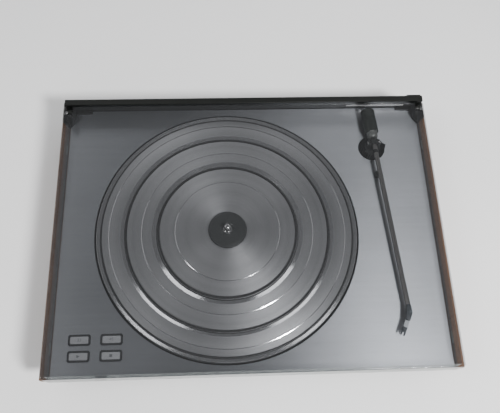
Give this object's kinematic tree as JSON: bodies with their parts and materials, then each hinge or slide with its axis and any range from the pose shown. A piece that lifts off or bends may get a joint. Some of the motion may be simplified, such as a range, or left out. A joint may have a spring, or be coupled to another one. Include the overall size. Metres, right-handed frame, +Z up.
{
  "type": "turntable record player",
  "caption": "Low belt-drive record player with a brushed metal deck, ringed platter, straight tonearm, press keys, wooden sides and a hinged smoked dust cover.",
  "frame": {"origin": "on the floor, under the middle of the whole player with its cover closed", "axes": "+X to the right seen from the front, +Y to the back where the hinge is, +Z up"},
  "size_m": [0.42, 0.32, 0.076],
  "materials": {
    "case_plastic": "fine moulded grain",
    "rail_plastic": "satin moulded",
    "deck_metal": "satin, brushed along the width",
    "side_wood": "oiled rosewood veneer",
    "bright_trim": "satin",
    "foot_rubber": "matt",
    "screw_steel": "zinc plated",
    "gland_rubber": "matt",
    "board_laminate": "solder-resist",
    "board_part": "moulded",
    "sink_metal": "anodised",
    "core_steel": "varnished laminations",
    "winding_tape": "taped winding",
    "motor_steel": "drawn",
    "pulley_brass": "turned",
    "belt_rubber": "ground",
    "frame_plastic": "moulded",
    "key_plastic": "light grey moulded",
    "chassis_steel": "black powder coat",
    "post_steel": "zinc plated",
    "housing_steel": "turned",
    "bush_bronze": "sintered",
    "ball_steel": "polished",
    "drive_plastic": "moulded",
    "platter_metal": "turned, fine rings",
    "ring_rubber": "matt",
    "hub_plastic": "satin",
    "spindle_steel": "polished",
    "rest_plastic": "moulded",
    "block_metal": "black",
    "tube_metal": "drawn, anodised",
    "head_plastic": "moulded",
    "stylus_metal": "fine",
    "weight_metal": "satin black-green anodised",
    "smoked_acrylic": "polished, smoked",
    "pad_rubber": "matt"
  },
  "bodies": {
    "base": {"base_tray": "case_plastic", "deck_plate": "deck_metal", "side_panel_left": "side_wood", "side_panel_right": "side_wood", "rear_rail": "rail_plastic", "corner_cap_left": "rail_plastic", "corner_cap_right": "rail_plastic", "hinge_cheek_left": "rail_plastic", "hinge_cheek_right": "rail_plastic", "arm_recess_trim": "bright_trim", "foot_front_left": "foot_rubber", "foot_front_right": "foot_rubber", "foot_back_left": "foot_rubber", "foot_back_right": "foot_rubber", "case_screws": "screw_steel", "cable_glands": "gland_rubber", "main_board": "board_laminate", "board_parts": "board_part", "heat_sink": "sink_metal", "transformer_core": "core_steel", "transformer_winding": "winding_tape", "motor_can": "motor_steel", "motor_plate": "motor_steel", "drive_belt": "belt_rubber", "key_board": "board_laminate", "key_switches": "board_part", "key_frames": "frame_plastic", "spring_posts": "post_steel", "suspension_springs": "post_steel", "arm_rest": "rest_plastic"},
    "chassis": {"sub_chassis": "chassis_steel", "bearing_housing": "housing_steel", "bearing_bush": "bush_bronze", "bearing_screws": "screw_steel", "thrust_ball": "ball_steel", "arm_base": "chassis_steel", "arm_bush": "bush_bronze"},
    "platter": {"sub_platter": "drive_plastic", "platter": "platter_metal", "platter_ring_inner": "ring_rubber", "platter_ring_middle": "ring_rubber", "platter_ring_outer": "ring_rubber", "hub_cap": "hub_plastic", "spindle": "spindle_steel"},
    "pulley": {"motor_pulley": "pulley_brass"},
    "arm_turn": {"arm_yoke": "rest_plastic"},
    "arm": {"pivot_block": "block_metal", "arm_tube": "tube_metal", "arm_knee": "head_plastic", "cartridge": "head_plastic", "stylus": "stylus_metal"},
    "weight": {"counterweight": "weight_metal"},
    "lift_bar": {"arm_lift_bar": "housing_steel"},
    "lid": {"dust_lid": "smoked_acrylic", "hinge_pins": "ball_steel", "lid_pads": "pad_rubber"},
    "key_33": {"key_speed_33": "key_plastic"},
    "key_45": {"key_speed_45": "key_plastic"},
    "start_key": {"key_start": "key_plastic"},
    "stop_key": {"key_stop": "key_plastic"}
  },
  "joints": [
    {"name": "lid_hinge", "type": "hinge", "parent": "base", "child": "lid", "pos_m": [0, 0.1307, 0.0713], "axis": [-1, 0, 0], "range_deg": [0, 58]},
    {"name": "suspension", "type": "slide", "parent": "base", "child": "chassis", "axis": [0, 0, 1], "range_m": [-0.001, 0.0006], "stiffness_N_per_m": 6000, "springref_m": 0.00249, "deforming": ["suspension_springs"]},
    {"name": "platter_spin", "type": "hinge", "parent": "chassis", "child": "platter", "pos_m": [-0.0238, -0.0074, 0.03], "axis": [0, 0, -1], "continuous": true},
    {"name": "pulley_spin", "type": "hinge", "parent": "base", "child": "pulley", "pos_m": [-0.118, 0.0705, 0.034], "axis": [0, 0, -1], "continuous": true},
    {"name": "arm_swing", "type": "hinge", "parent": "chassis", "child": "arm_turn", "pos_m": [0.1435, 0.09, 0.044], "axis": [0, 0, -1], "range_deg": [-1.5, 48]},
    {"name": "arm_pitch", "type": "hinge", "parent": "arm_turn", "child": "arm", "pos_m": [0.1435, 0.09, 0.0648], "axis": [-0.9969, -0.0788, 0], "range_deg": [0, 1.9]},
    {"name": "weight_slide", "type": "slide", "parent": "arm", "child": "weight", "axis": [-0.0788, 0.9969, 0], "range_m": [-0.002, 0.001]},
    {"name": "arm_lift", "type": "slide", "parent": "chassis", "child": "lift_bar", "axis": [0, 0, 1], "range_m": [0, 0.0005]},
    {"name": "key_33_press", "type": "slide", "parent": "base", "child": "key_33", "axis": [0, 0, -1], "range_m": [0, 0.0015], "stiffness_N_per_m": 300, "springref_m": -0.001},
    {"name": "key_45_press", "type": "slide", "parent": "base", "child": "key_45", "axis": [0, 0, -1], "range_m": [0, 0.0015], "stiffness_N_per_m": 300, "springref_m": -0.001},
    {"name": "start_key_press", "type": "slide", "parent": "base", "child": "start_key", "axis": [0, 0, -1], "range_m": [0, 0.0015], "stiffness_N_per_m": 300, "springref_m": -0.001},
    {"name": "stop_key_press", "type": "slide", "parent": "base", "child": "stop_key", "axis": [0, 0, -1], "range_m": [0, 0.0015], "stiffness_N_per_m": 300, "springref_m": -0.001}
  ],
  "couplings": [
    {"joint": "pulley_spin", "follows": "platter_spin", "ratio": 10},
    {"joint": "arm_lift", "follows": "arm_pitch", "m_per_rad": 0.0122}
  ]
}
